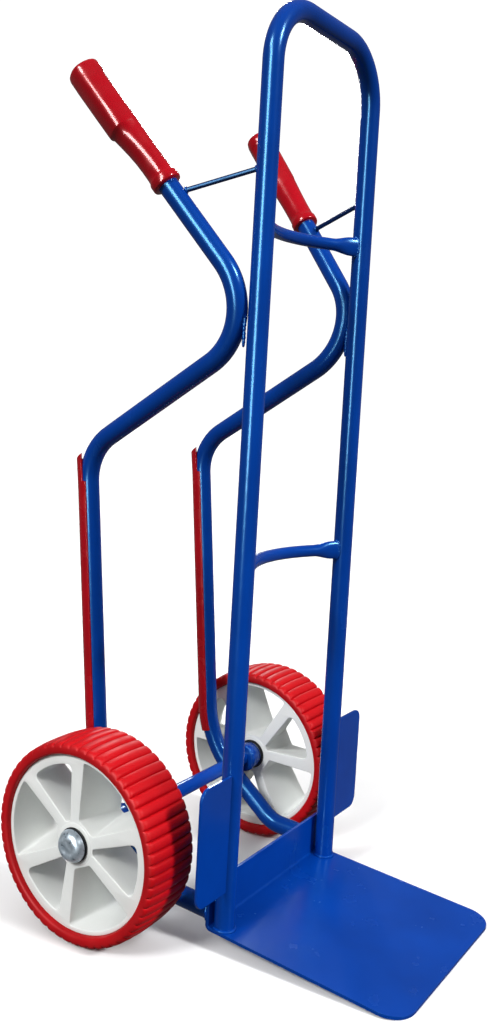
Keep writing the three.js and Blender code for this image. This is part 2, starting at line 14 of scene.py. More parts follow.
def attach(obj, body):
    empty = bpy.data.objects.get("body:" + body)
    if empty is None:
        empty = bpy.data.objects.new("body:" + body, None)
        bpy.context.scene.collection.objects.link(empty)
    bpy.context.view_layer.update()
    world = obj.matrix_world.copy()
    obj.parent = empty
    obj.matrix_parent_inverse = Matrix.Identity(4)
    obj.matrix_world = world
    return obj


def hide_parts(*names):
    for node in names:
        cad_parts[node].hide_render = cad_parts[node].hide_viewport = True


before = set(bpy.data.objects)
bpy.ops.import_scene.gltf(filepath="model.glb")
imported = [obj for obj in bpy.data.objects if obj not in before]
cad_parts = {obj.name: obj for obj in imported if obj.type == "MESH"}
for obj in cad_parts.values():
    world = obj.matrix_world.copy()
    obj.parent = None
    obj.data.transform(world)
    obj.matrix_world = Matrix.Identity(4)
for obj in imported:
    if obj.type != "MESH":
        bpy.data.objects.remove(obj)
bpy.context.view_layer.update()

MM = 0.001
LEAN = Matrix.Translation((0, -0.014888, 0.010997)) @ Matrix.Rotation(math.radians(1.63208), 4, "X")
SIDES = {"left": -1, "right": 1}


def put(point):
    return LEAN @ (Vector(point) * MM)


# ---- driving dimensions, as in the CAD ----

TUBE_R = 12.7
UPRIGHT_FOOT_X, UPRIGHT_TOP_X, ARCH_Z, ARCH_BEND_R = 126.6, 124.1, 1120.4, 73
SIDE_X = 128
HANDLE_FLARE, HANDLE_RUN_Y, HANDLE_RUN_Z, HANDLE_TUBE_END = 0.23, 289, 360.8, 372
# Corners of the side tube are (y, z, bend radius).
HANDLE_CORNER, ELBOW_CORNER = (-14, 751, 82), (250.6, 580.2, 68)
RAIL_CORNER, HEEL_CORNER, RAIL_FOOT_Z = (206.5, 125.5, 133), (88.3, 34.5, 46), 31.3

WHEEL_Y, WHEEL_Z, WHEEL_MIDDLE_X = 152.2, 111.7, 199.7
AXLE_R, AXLE_END_X, SLEEVE_R = 10, 243, 19
BORE_R = AXLE_R + 0.3  # of everything that sits on the axle
HUB_FACE = 35.5  # along the wheel's own axis, from its middle
RIM_FACE = 34.8
RIM_R = 110
POCKET_TURN = {"left": 116.6, "right": 89.3}  # degrees from the front, over the top, to an outer pocket

PLATE_HALF_WIDTH, PLATE_FRONT_Y, PLATE_RISE = 141, -246.2, 0.0585
PLATE_THICK, PLATE_CORNER_R, PLATE_BEND_R = 4, 32, 3
FLANGE_Y, FLANGE_TOP_Z = 14.2, 68.5
GUARD_X, GUARD_Z, GUARD_FRONT_Y, GUARD_CORNER_R = (138.8, 200.4), (66, 212), -8, 15

CROSSBAR_R, CROSSBAR_BOW, CROSSBAR_Y, CROSSBAR_END_X = 8, 36, 3, 111
CROSSBAR_Z = {"upper_crossbar": 868.3, "lower_crossbar": 456.3}
STRUT_R, STRUT_UPRIGHT_Z, STRUT_HANDLE_AT = 3.1, 930, 191
GRIP_START, GRIP_LENGTH = 204, 179
SKID_TOP_Z, SKID_BOTTOM_Z, SKID_LIP_Z, SKID_TOP_CUT = 578, 148, 541, 10
SKID_R, SKID_THINNING, SKID_WRAP = 15.6, 1, 21.5
RIVET_Z, RIVET_SEAT = (205, 535), 14.85


# ---- materials ----

def new_material(name, rough, metallic=0.0):
    material = bpy.data.materials.new(name)
    material.use_nodes = True
    tree = material.node_tree
    shader = tree.nodes["Principled BSDF"]
    shader.inputs["Roughness"].default_value = rough
    shader.inputs["Metallic"].default_value = metallic
    coords = tree.nodes.new("ShaderNodeTexCoord")
    return material, tree, shader, coords.outputs["Object"]


def noise(tree, coords, scale, detail, stretch=None):
    """A noise texture's value output. stretch scales the coordinates first."""
    if stretch:
        mapping = tree.nodes.new("ShaderNodeMapping")
        mapping.inputs["Scale"].default_value = stretch
        tree.links.new(coords, mapping.inputs["Vector"])
        coords = mapping.outputs["Vector"]
    node = tree.nodes.new("ShaderNodeTexNoise")
    node.inputs["Scale"].default_value = scale
    node.inputs["Detail"].default_value = detail
    tree.links.new(coords, node.inputs["Vector"])
    return node.outputs["Fac"]


def ramp(tree, value, *stops):
    """A colour ramp of (position, colour) stops."""
    node = tree.nodes.new("ShaderNodeValToRGB")
    elements = node.color_ramp.elements
    while len(elements) < len(stops):
        elements.new(0.5)
    for element, (position, colour) in zip(elements, stops):
        element.position = position
        element.color = (*colour, 1)
    tree.links.new(value, node.inputs["Fac"])
    return node.outputs["Color"]


def level(tree, value, low, high, out_low, out_high):
    """Maps a value's range onto another, clamped."""
    node = tree.nodes.new("ShaderNodeMapRange")
    for key, number in (("From Min", low), ("From Max", high), ("To Min", out_low), ("To Max", out_high)):
        node.inputs[key].default_value = number
    tree.links.new(value, node.inputs["Value"])
    return node.outputs["Result"]


def bump(tree, shader, *layers):
    """Bump layers of (height output, strength, distance in metres), chained."""
    normal = None
    for height, strength, distance in layers:
        node = tree.nodes.new("ShaderNodeBump")
        node.inputs["Strength"].default_value = strength
        node.inputs["Distance"].default_value = distance
        tree.links.new(height, node.inputs["Height"])
        if normal:
            tree.links.new(normal, node.inputs["Normal"])
        normal = node.outputs["Normal"]
    tree.links.new(normal, shader.inputs["Normal"])


def paint(name, light, dark, rough, coat, tint):
    """Sprayed enamel: orange peel, slow waves in the film, a few dull rubs."""
    material, tree, shader, coords = new_material(name, rough)
    tone = noise(tree, coords, 9, 3)
    tree.links.new(ramp(tree, tone, (0.3, dark), (0.7, light)), shader.inputs["Base Color"])
    rubs = noise(tree, coords, 26, 5, (1, 1, 0.35))
    tree.links.new(level(tree, rubs, 0.6, 0.78, rough, rough + 0.16), shader.inputs["Roughness"])
    shader.inputs["Specular IOR Level"].default_value = 0.5
    shader.inputs["Specular Tint"].default_value = (*tint, 1)
    shader.inputs["Coat Weight"].default_value = coat
    shader.inputs["Coat Roughness"].default_value = 0.07
    bump(
        tree,
        shader,
        (noise(tree, coords, 60, 1), 0.25, 0.0008),
        (noise(tree, coords, 420, 2), 0.12, 0.0003),
    )
    return material


def plastic(name, light, dark, rough, grain, grain_strength, coat=0.0, tint=(1, 1, 1)):
    """Moulded plastic: a faint cloudiness, fine grain and flow marks."""
    material, tree, shader, coords = new_material(name, rough)
    tone = noise(tree, coords, 14, 4)
    tree.links.new(ramp(tree, tone, (0.3, dark), (0.72, light)), shader.inputs["Base Color"])
    scuffs = noise(tree, coords, 45, 6)
    tree.links.new(level(tree, scuffs, 0.45, 0.75, rough - 0.04, rough + 0.14), shader.inputs["Roughness"])
    shader.inputs["Specular IOR Level"].default_value = 0.3
    shader.inputs["Specular Tint"].default_value = (*tint, 1)
    shader.inputs["Coat Weight"].default_value = coat
    shader.inputs["Coat Roughness"].default_value = 0.12
    bump(
        tree,
        shader,
        (noise(tree, coords, 70, 2), 0.2, 0.0006),
        (noise(tree, coords, grain, 2), grain_strength, 0.0003),
    )
    return material


def zinc_plate(name):
    """Zinc-plated steel: mottled grey, with drawing marks."""
    material, tree, shader, coords = new_material(name, 0.34, 0.6)
    mottle = noise(tree, coords, 160, 4)
    colour = ramp(tree, mottle, (0.3, (0.3, 0.37, 0.43)), (0.7, (0.55, 0.63, 0.7)))
    tree.links.new(colour, shader.inputs["Base Color"])
    tree.links.new(level(tree, mottle, 0.3, 0.7, 0.26, 0.44), shader.inputs["Roughness"])
    bump(tree, shader, (noise(tree, coords, 300, 3), 0.15, 0.0004))
    return material


BLUE_SHEEN = (0.2, 0.65, 1)
NAVY_SHEEN = (0.2, 0.5, 0.9)
RED_SHEEN = (1, 0.4, 0.4)

MATERIALS = {
    "blue_paint": paint(
        "blue_enamel", (0.0003, 0.041, 0.3), (0.0002, 0.031, 0.235), 0.23, 0.03, BLUE_SHEEN
    ),
    "dark_paint": paint(
        "navy_enamel", (0.001, 0.016, 0.1), (0.0008, 0.01, 0.065), 0.36, 0.0, NAVY_SHEEN
    ),
    "red_plastic": plastic(
        "glossy_red", (0.4, 0.0004, 0.008), (0.3, 0.0003, 0.005), 0.24, 500, 0.08, 0.4, RED_SHEEN
    ),
    "red_tyre": plastic(
        "red_polyurethane", (0.5, 0.002, 0.006), (0.36, 0.001, 0.004), 0.5, 700, 0.25, tint=RED_SHEEN
    ),
    "white_plastic": plastic(
        "white_polypropylene", (0.88, 0.9, 0.88), (0.8, 0.82, 0.8), 0.38, 600, 0.12
    ),
    "nylon": plastic("black_nylon", (0.014, 0.015, 0.018), (0.008, 0.009, 0.011), 0.45, 600, 0.2),
    "zinc": zinc_plate("zinc_plate"),
}


# ---- mesh tools ----

BEND_STEP = 3  # degrees of bend between two rings of a tube
TURNED_SIDES = 64
MERGE_DISTANCE = 1e-6
BEVEL_ANGLE = 40


class Shape:
    """A mesh in the making, from rings of points."""

    def __init__(self):
        self.verts, self.faces = [], []

    def skin(self, rings, cap=True, loop=False):
        """Joins rings of equal length, and closes the ends or joins the last ring to the first."""
        start, n = len(self.verts), len(rings[0])
        self.verts += [tuple(v) for ring in rings for v in ring]
        for i in range(len(rings) if loop else len(rings) - 1):
            a, b = start + i * n, start + (i + 1) % len(rings) * n
            for j in range(n):
                k = (j + 1) % n
                self.faces.append((a + j, a + k, b + k, b + j))
        if cap and not loop:
            last = start + (len(rings) - 1) * n
            self.faces.append(tuple(range(start + n - 1, start - 1, -1)))
            self.faces.append(tuple(range(last, last + n)))
        return self


def piece(name, shape, slot, body, *nodes, sharp=38, bevel=0.0):
    """Makes the object. sharp is the angle in degrees from which an edge is drawn hard."""
    mesh = bpy.data.meshes.new(name)
    mesh.from_pydata([put(v) for v in shape.verts], [], shape.faces)
    build = bmesh.new()
    build.from_mesh(mesh)
    bmesh.ops.remove_doubles(build, verts=build.verts, dist=MERGE_DISTANCE)
    bmesh.ops.recalc_face_normals(build, faces=build.faces)
    build.to_mesh(mesh)
    build.free()
    mesh.shade_smooth()
    mesh.set_sharp_from_angle(angle=math.radians(sharp))
    mesh.materials.append(MATERIALS[slot])
    obj = bpy.data.objects.new(name, mesh)
    bpy.context.scene.collection.objects.link(obj)
    if bevel:
        modifier = obj.modifiers.new("rounded_edges", "BEVEL")
        modifier.width = bevel * MM
        modifier.segments = 3
        modifier.limit_method = "ANGLE"
        modifier.angle_limit = math.radians(BEVEL_ANGLE)
        modifier.harden_normals = True
    if nodes:
        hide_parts(*nodes)
    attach(obj, body)


def bend_points(before, corner, after, radius):
    """Points of the arc that rounds a corner between two straight runs."""
    back, on = (before - corner).normalized(), (after - corner).normalized()
    turn = math.pi - back.angle(on)
    inwards, sideways = (back + on).normalized(), (on - back).normalized()
    centre = corner + inwards * (radius / math.cos(turn / 2))
    steps = math.ceil(math.degrees(turn) / BEND_STEP)
    angles = [turn * (i / steps - 0.5) for i in range(steps + 1)]
    return [
        centre - inwards * (radius * math.cos(a)) + sideways * (radius * math.sin(a))
        for a in angles
    ]


def bent_path(corners):
    """Corners are (point, bend radius), with radius 0 at the ends."""
    points = []
    for i, (point, radius) in enumerate(corners):
        if radius:
            points += bend_points(corners[i - 1][0], point, corners[i + 1][0], radius)
        else:
            points.append(point)
    return points


def frames(points, normal):
    """A (point, normal, binormal, tangent) for each point, carried along without twist."""
    found = []
    normal = Vector(normal)
    for i, point in enumerate(points):
        tangent = (points[min(i + 1, len(points) - 1)] - points[max(i - 1, 0)]).normalized()
        normal = (normal - tangent * normal.dot(tangent)).normalized()
        found.append((point, normal, tangent.cross(normal), tangent))
    return found


def circle(frame_at, radius, sides=40, squash=(1, 1)):
    """A ring round one of the points of frames(), squashed along its normal and binormal."""
    point, normal, binormal, _ = frame_at
    ru, rv = radius * squash[0], radius * squash[1]
    turns = [2 * math.pi * j / sides for j in range(sides)]
    return [point + normal * (ru * math.cos(t)) + binormal * (rv * math.sin(t)) for t in turns]


def tube(points, radius, normal=(1, 0, 0), sides=40):
    return Shape().skin([circle(f, radius, sides) for f in frames(points, normal)])


def turned(profile, side, closed=False):
    """A solid of revolution about the axle, from (radius, outward distance from the wheel's middle)."""
    angles = [360 * j / TURNED_SIDES for j in range(TURNED_SIDES)]
    rings = [[wheel_point(side, radius, a, out) for a in angles] for radius, out in profile]
    return Shape().skin(rings, cap=not closed, loop=closed)


def wheel_point(side, radius, degrees, out):
    """A point of the wheel. degrees run from its front over the top."""
    a = math.radians(degrees)
    return (
        side * (WHEEL_MIDDLE_X + out),
        WHEEL_Y - radius * math.cos(a),
        WHEEL_Z + radius * math.sin(a),
    )


def rounded(r0, r1, out0, out1, edge):
    """Profile of a ring from radius r0 to r1 and out0 to out1, with its outer edges rounded."""
    cut = 0.3 * edge
    return [
        (r0, out0), (r1 - edge, out0), (r1 - cut, out0 + cut), (r1, out0 + edge),
        (r1, out1 - edge), (r1 - cut, out1 - cut), (r1 - edge, out1), (r0, out1),
    ]


# ---- frame tubes ----

FOOT_LIFT = 0.2  # of the side tube's foot and its weld above the foot's corner


def plate_top(y):
    return (y - PLATE_FRONT_Y) * PLATE_RISE


def handle_point(side, along):
    """A point of the handle's centre line, by its distance from the handle's corner."""
    run = Vector((side * HANDLE_FLARE * HANDLE_RUN_Z, HANDLE_RUN_Y, HANDLE_RUN_Z)).normalized()
    return Vector((side * SIDE_X, *HANDLE_CORNER[:2])) + run * along


def side_path(side):
    corners = [
        (Vector((side * SIDE_X, y, z)), bend)
        for y, z, bend in (HANDLE_CORNER, ELBOW_CORNER, RAIL_CORNER, HEEL_CORNER)
    ]
    foot = Vector((side * SIDE_X, FLANGE_Y + PLATE_THICK, RAIL_FOOT_Z + FOOT_LIFT))
    return bent_path([(handle_point(side, HANDLE_TUBE_END), 0), *corners, (foot, 0)])


backrest_path = bent_path([
    (Vector((-UPRIGHT_FOOT_X, 0, plate_top(0))), 0),
    (Vector((-UPRIGHT_TOP_X, 0, ARCH_Z)), ARCH_BEND_R),
    (Vector((UPRIGHT_TOP_X, 0, ARCH_Z)), ARCH_BEND_R),
    (Vector((UPRIGHT_FOOT_X, 0, plate_top(0))), 0),
])
piece("backrest_tube", tube(backrest_path, TUBE_R, (0, 1, 0)), "blue_paint", "frame", "backrest_loop")
for name, side in SIDES.items():
    piece(f"{name}_frame_tube", tube(side_path(side), TUBE_R), "blue_paint", "frame", f"{name}_side_tube")


# ---- crossbars and struts ----

CROSSBAR_OVERRUN = 1.02  # the bar reaches just into the uprights
CROSSBAR_STEPS = 28  # rings from the middle to an end
PRESS_START_X, PRESS_LENGTH = 80, 26
PRESS_THINNER, PRESS_TALLER = 0.42, 0.56


def crossbar_point(x, z):
    t = x / CROSSBAR_END_X
    return Vector((x, CROSSBAR_Y + CROSSBAR_BOW * (1 - t * t), z))


def crossbar(z):
    """Round in the middle, pressed tall and thin at its ends."""
    reach = CROSSBAR_END_X * CROSSBAR_OVERRUN
    xs = [reach * (i / CROSSBAR_STEPS - 1) for i in range(2 * CROSSBAR_STEPS + 1)]
    rings = []
    for at in frames([crossbar_point(x, z) for x in xs], (0, 1, 0)):
        t = min(max((abs(at[0].x) - PRESS_START_X) / PRESS_LENGTH, 0), 1)
        t = t * t * (3 - 2 * t)
        rings.append(circle(at, CROSSBAR_R, 32, (1 - PRESS_THINNER * t, 1 + PRESS_TALLER * t)))
    return Shape().skin(rings)


for name, z in CROSSBAR_Z.items():
    piece(f"{name}_bar", crossbar(z), "blue_paint", "frame", name)


def strut_ends(side):
    return Vector((side * UPRIGHT_TOP_X, 0, STRUT_UPRIGHT_Z)), handle_point(side, STRUT_HANDLE_AT)


for name, side in SIDES.items():
    upright, handle = strut_ends(side)
    along = (handle - upright).normalized()
    points = [upright + along * (TUBE_R - 1), handle - along * (TUBE_R + 1)]
    piece(f"{name}_strut_rod", tube(points, STRUT_R, sides=20), "dark_paint", "frame", f"{name}_strut")


# ---- sheet metal ----

BEHIND_CORNERS = 999  # a distance from the front edge at which the plate has its full width
PLATE_EDGE = 0.9


def plate_width(s):
    """Half the plate's width at a distance from its front edge."""
    if s >= PLATE_CORNER_R:
        return PLATE_HALF_WIDTH
    return PLATE_HALF_WIDTH - PLATE_CORNER_R + math.sqrt(PLATE_CORNER_R**2 - (PLATE_CORNER_R - s) ** 2)


def toe_plate():
    """Bent sheet. stations are (upper y, upper z, lower y, lower z, distance from the front edge)."""
    slope = math.atan(PLATE_RISE)
    down = (PLATE_THICK * math.sin(slope), -PLATE_THICK * math.cos(slope))
    bend_y = FLANGE_Y - PLATE_BEND_R
    bend_z = plate_top(bend_y) + PLATE_BEND_R / math.cos(slope)
    ss = [PLATE_CORNER_R * (1 - math.cos(math.radians(a))) for a in range(0, 91, 6)]
    ss += [60, 100, 150, 200, bend_y - PLATE_FRONT_Y - 1]
    stations = [
        (PLATE_FRONT_Y + s, s * PLATE_RISE, PLATE_FRONT_Y + s + down[0], s * PLATE_RISE + down[1], s)
        for s in ss
    ]
    inner, outer = PLATE_BEND_R, PLATE_BEND_R + PLATE_THICK
    for i in range(9):
        a = -math.pi / 2 + slope + (math.pi / 2 - slope) * i / 8
        c, d = math.cos(a), math.sin(a)
        stations.append((
            bend_y + inner * c, bend_z + inner * d, bend_y + outer * c, bend_z + outer * d, BEHIND_CORNERS
        ))
    stations.append((FLANGE_Y, FLANGE_TOP_Z, FLANGE_Y + PLATE_THICK, FLANGE_TOP_Z, BEHIND_CORNERS))
    rings = []
    for upper_y, upper_z, lower_y, lower_z, s in stations:
        w = plate_width(s)
        upper = [(x, upper_y, upper_z) for x in (-w, 0, w)]
        rings.append(upper + [(x, lower_y, lower_z) for x in (w, 0, -w)])
    return Shape().skin(rings)


piece("toe_plate_sheet", toe_plate(), "blue_paint", "frame", "toe_plate", bevel=PLATE_EDGE)


def guard_plate(side):
    (x0, x1), (z0, z1), r = GUARD_X, GUARD_Z, GUARD_CORNER_R
    outline = [(x0, z1), (x0, z0)]
    for cz, start in ((z0 + r, -90), (z1 - r, 0)):
        turns = [math.radians(start + 90 * i / 10) for i in range(11)]
        outline += [(x1 - r + r * math.cos(a), cz + r * math.sin(a)) for a in turns]
    faces = (GUARD_FRONT_Y, GUARD_FRONT_Y + PLATE_THICK)
    return Shape().skin([[(side * x, y, z) for x, z in outline] for y in faces])


for name, side in SIDES.items():
    piece(f"{name}_guard", guard_plate(side), "blue_paint", "frame", f"{name}_guard_plate", bevel=PLATE_EDGE)


# ---- welds ----

BEAD_STEP = 1.4
BEAD_SIDES = 10
FOOT_BEAD_LIFT, FOOT_BEAD_BACK_Y = 0.8, 10.5
CROSSBAR_BEAD_DEPTH, CROSSBAR_BEAD_HEIGHT = 5.2, 12.6  # half sizes of the bar's pressed end
TOUCH_BEAD_X, TOUCH_BEAD_Y, TOUCH_BEAD_Z = 5.4, 13.6, range(722, 764, 3)  # side tube on the upright
GUARD_BEAD_Z, GUARD_BEAD_RUN = (80, 128, 176), range(0, 25, 4)
AXLE_BEAD_REACH = 3  # how far past the axle's middle the bead by the side tube goes


def bead(shape, points, radius, normal, loop=False):
    """A weld bead: a small tube with ripples, thinner at its ends."""
    dense = []
    count = len(points) if loop else len(points) - 1
    for i in range(count):
        a, b = points[i], points[(i + 1) % len(points)]
        steps = max(1, round((b - a).length / BEAD_STEP))
        dense += [a.lerp(b, k / steps) for k in range(steps)]
    if not loop:
        dense.append(points[-1])
    rings = []
    for i, at in enumerate(frames(dense, normal)):
        end = 1 if loop else min(1, 0.35 + 0.3 * min(i, len(dense) - 1 - i))
        ripple = 1 + 0.13 * math.sin(i * 1.9) + 0.07 * math.sin(i * 0.7 + radius)
        rings.append(circle(at, radius * ripple * end, BEAD_SIDES))
    shape.skin(rings, loop=loop)


def loop_points(centre, u, v, ru, rv, count=36):
    """An ellipse round a centre, with half axes ru along u and rv along v."""
    turns = [2 * math.pi * i / count for i in range(count)]
    centre, u, v = Vector(centre), Vector(u), Vector(v)
    return [centre + u * (ru * math.cos(a)) + v * (rv * math.sin(a)) for a in turns]


def welds():
    shape = Shape()
    X, Y, Z = (1, 0, 0), (0, 1, 0), (0, 0, 1)
    for side in SIDES.values():
        foot = (side * UPRIGHT_FOOT_X, 0, plate_top(0) + FOOT_BEAD_LIFT)
        ring = loop_points(foot, X, Y, TUBE_R + 0.6, TUBE_R + 0.6, 48)
        front = [p for p in ring if p.y < FOOT_BEAD_BACK_Y]
        front.sort(key=lambda p: math.atan2(p.x - foot[0], -(p.y - foot[1])))
        bead(shape, [Vector((p.x, p.y, plate_top(p.y) + FOOT_BEAD_LIFT)) for p in front], 2.1, Z)
        for z in CROSSBAR_Z.values():
            end = (side * (CROSSBAR_END_X + 0.8), CROSSBAR_Y, z)
            ring = loop_points(end, Y, Z, CROSSBAR_BEAD_DEPTH, CROSSBAR_BEAD_HEIGHT)
            bead(shape, ring, 1.5, X, loop=True)
        for edge in (-1, 1):
            x = side * SIDE_X + edge * TOUCH_BEAD_X
            bead(shape, [Vector((x, TOUCH_BEAD_Y, z)) for z in TOUCH_BEAD_Z], 2.2, X)
        upright, handle = strut_ends(side)
        along = (handle - upright).normalized()
        across = along.cross(Vector(Y)).normalized()
        for end in (upright + along * (TUBE_R + 0.3), handle - along * (TUBE_R + 2.4)):
            ring = loop_points(end, across, along.cross(across), STRUT_R, STRUT_R, 18)
            bead(shape, ring, 1.4, along, loop=True)
        x, y = side * (GUARD_X[0] + 0.2), GUARD_FRONT_Y + PLATE_THICK + 0.4
        for z in GUARD_BEAD_Z:
            bead(shape, [Vector((x, y, z + k)) for k in GUARD_BEAD_RUN], 1.7, X)
        sleeve_end = (side * (SIDE_X + TUBE_R), WHEEL_Y, WHEEL_Z)
        bead(shape, loop_points(sleeve_end, Y, Z, SLEEVE_R - 0.4, SLEEVE_R - 0.4), 2.0, X, loop=True)
        middle = Vector((side * SIDE_X, WHEEL_Y, WHEEL_Z))
        near = min(side_path(side), key=lambda p: (p - middle).length)
        away = (middle - near).normalized()
        seat = Vector((side * (SIDE_X - TUBE_R + 1), WHEEL_Y, WHEEL_Z))
        ring = loop_points(seat, away, away.cross(Vector(X)), AXLE_R + 0.6, AXLE_R + 0.6)
        bead(shape, [p for p in ring if (p - seat).dot(away) < AXLE_BEAD_REACH], 1.9, X)
        back = (side * SIDE_X, FLANGE_Y + PLATE_THICK + 0.6, RAIL_FOOT_Z + FOOT_LIFT)
        bead(shape, loop_points(back, X, Z, TUBE_R + 0.5, TUBE_R + 0.5), 2.0, Y, loop=True)
    return shape


piece("weld_beads", welds(), "blue_paint", "frame")


# ---- wheels ----

RIBS = 57
RIB_STEPS = (0.0, 0.05, 0.12, 0.25, 0.5, 0.75, 0.88, 0.95)
RIB_SQUARENESS = 5
# (distance from the middle, radius on a rib, radius in a groove)
TREAD = ((0, 127, 123.4), (12, 126.8, 123.2), (23, 126.2, 122.6), (31, 125.4, 121.9), (35.5, 124.8, 121.4),
         (38, 124.2, 121), (39.8, 122.9, 120.4), (40.9, 121, 119.6), (41.4, 119, 118.9), (41.4, 116.5, 116.5),
         (41.2, 113.6, 113.6), (40.3, 111.7, 111.7), (38.6, 110.8, 110.8), (36, 110.3, 110.3))


def tyre(side):
    across = [(-w, top, low) for w, top, low in reversed(TREAD)] + list(TREAD[1:])
    rings = []
    for rib in range(RIBS):
        for t in RIB_STEPS:
            degrees = 360 * (rib + t) / RIBS
            height = 1 - abs(2 * t - 1) ** RIB_SQUARENESS
            rings.append([
                wheel_point(side, low + (top - low) * height, degrees, w) for w, top, low in across
            ])
    return Shape().skin(rings, loop=True)


def bezier(start, control, end, steps):
    ts = [k / steps for k in range(steps + 1)]
    return [start * (1 - t) ** 2 + control * (2 * t * (1 - t)) + end * t * t for t in ts]


def mouth(tip, tip_half, side_end, arc_r, tip_cut, corner_cut):
    """Half outline of an opening, from the tip's middle to the outer arc's middle, as (along, across)."""
    corner, tip_corner = Vector(side_end), Vector((tip, tip_half))
    run = (corner - tip_corner).normalized()
    after = math.atan2(corner.y, corner.x) - corner_cut / arc_r
    arc = [
        Vector((arc_r * math.cos(after * (1 - k / 6)), arc_r * math.sin(after * (1 - k / 6))))
        for k in range(6)
    ]
    start, end = tip_corner + run * tip_cut, corner - run * corner_cut
    points = [Vector((tip, 0))]
    points += bezier(tip_corner - Vector((0, tip_cut)), tip_corner, start, 3)
    points += [start.lerp(end, k / 8) for k in range(1, 8)]
    points += bezier(end, corner, arc[0], 6)
    points += arc[1:]
    return points + [Vector((arc_r, 0))]


def outline(half):
    """The whole outline of an opening."""
    mirrored = [Vector((p.x, -p.y)) for p in reversed(half[1:-1])]
    return half + mirrored


WIDE = outline(mouth(28.6, 13.2, (91.7, 50.2), 104.5, 2.5, 4))
NARROW = outline(mouth(28.4, 3.6, (91.4, 33.8), 97.5, 1.6, 9))


def grown(points, by):
    """The outline moved outwards by a distance."""
    found = []
    for i, p in enumerate(points):
        along = points[(i + 1) % len(points)] - points[i - 1]
        found.append(p + Vector((-along.y, along.x)).normalized() * by)
    return found


OPENINGS = 6
OPENING_EDGE = 1.1  # radius of the rounding where an opening meets a face
OPENING_EDGE_STEPS = (0, 22, 45, 68, 90)
RIM_SIDES = 120
HUB_R, HUB_BORE_R = 26.6, 12.9
LIP_EDGE, LIP_EDGE_MIDDLE = 1.2, 0.35


def rim(side, first_turn):
    """Six tapered openings, each wide at one face and narrow at the other, turn about."""
    shape = Shape()
    faces = {1: [], -1: []}
    rounding = [
        (OPENING_EDGE * (1 - math.sin(math.radians(a))), OPENING_EDGE * (1 - math.cos(math.radians(a))))
        for a in OPENING_EDGE_STEPS
    ]
    for k in range(OPENINGS):
        turn = first_turn + 360 / OPENINGS * k
        top, bottom = (NARROW, WIDE) if k % 2 == 0 else (WIDE, NARROW)

        def ring(points, out):
            polar = [(p.length, turn + math.degrees(math.atan2(p.y, p.x))) for p in points]
            return [wheel_point(side, radius, degrees, out) for radius, degrees in polar]

        rings = [ring(grown(top, spread), RIM_FACE - depth) for spread, depth in rounding]
        for t in (0.25, 0.5, 0.75):
            between = [p.lerp(q, t) for p, q in zip(top, bottom)]
            rings.append(ring(between, (RIM_FACE - OPENING_EDGE) * (1 - 2 * t)))
        rings += [ring(grown(bottom, spread), depth - RIM_FACE) for spread, depth in reversed(rounding)]
        shape.skin(rings, cap=False)
        faces[1].append(rings[0])
        faces[-1].append(rings[-1])

    def circle_at(radius, out):
        return [wheel_point(side, radius, 360 * j / RIM_SIDES, out) for j in range(RIM_SIDES)]

    lip_r, out = RIM_R - LIP_EDGE, RIM_FACE
    for sign, holes in faces.items():
        loops = [circle_at(lip_r, sign * out), circle_at(HUB_R, sign * out), *holes]
        cuts = [[Vector((y, z, 0)) for _, y, z in loop] for loop in loops]
        start = len(shape.verts)
        shape.verts += [point for loop in loops for point in loop]
        shape.faces += [tuple(start + i for i in t) for t in geometry.tessellate_polygon(cuts)]
    mid = LIP_EDGE_MIDDLE
    lip = [
        (lip_r, out), (RIM_R - mid, out - mid), (RIM_R, out - LIP_EDGE),
        (RIM_R, LIP_EDGE - out), (RIM_R - mid, mid - out), (lip_r, -out),
    ]
    half_hub = [
        (HUB_BORE_R, HUB_FACE), (HUB_R - 1.4, HUB_FACE), (HUB_R - 0.8, HUB_FACE - 0.3),
        (HUB_R - 0.5, out + 0.1), (HUB_R, out),
    ]
    hub = [(r, -o) for r, o in reversed(half_hub)] + half_hub
    for profile in (lip, hub):
        shape.skin([circle_at(r, o) for r, o in profile], cap=False)
    return shape


CAP_R, CAP_HEIGHT, CAP_SEAT, CAP_WALL = 20.3, 10, 39.8, 1.6


def cap(side):
    """A pressed cap: a rounded side and a slightly dished top."""
    top_r = CAP_R / 2

    def shell(offset):
        """Half section of the cap, moved inwards."""
        rise, inset = CAP_HEIGHT - offset, 0.6 * offset
        turns = [math.radians(a) for a in range(0, 91, 9)]
        curve = [(top_r + (top_r - 1) * math.cos(a) - inset, CAP_SEAT + rise * math.sin(a)) for a in turns]
        dish = [(top_r - 0.8 - inset, -0.1), (top_r - 2 - inset, -0.5), (4, -0.7), (0.01, -0.75)]
        return curve + [(r, CAP_SEAT + rise + drop) for r, drop in dish]

    skirt = [(CAP_R - 0.4, CAP_SEAT), (CAP_R, CAP_SEAT + 0.4), (CAP_R - 0.1, CAP_SEAT + 1.1)]
    return turned([*reversed(shell(CAP_WALL)), *skirt, *shell(0)[2:]], side)


BUSH_R, BUSH_LENGTH = 12.6, 20
# The flange is sized to the black ring round the cap, so its black nylon also paints the shade in the gap
# under the cap.
FLANGE_SHADE_R, FLANGE_THICK, FLANGE_EDGE = 21.3, 1.8, 0.4


def bush(side, sign):
    """A bush with its flange against the hub's face. The outer flange's black ring is partly painted shade:
    it stands in for the shadow in the gap between the cap and the hub.
    """
    seat, end = HUB_FACE + 0.3, HUB_FACE - BUSH_LENGTH
    back = seat + FLANGE_THICK
    profile = [
        (BORE_R, end), (BUSH_R, end), (BUSH_R, seat), (FLANGE_SHADE_R - FLANGE_EDGE, seat),
        (FLANGE_SHADE_R, seat + FLANGE_EDGE), (FLANGE_SHADE_R, back - FLANGE_EDGE), (FLANGE_SHADE_R - FLANGE_EDGE, back),
        (BORE_R, back),
    ]
    return turned([(r, sign * out) for r, out in profile], side, closed=True)


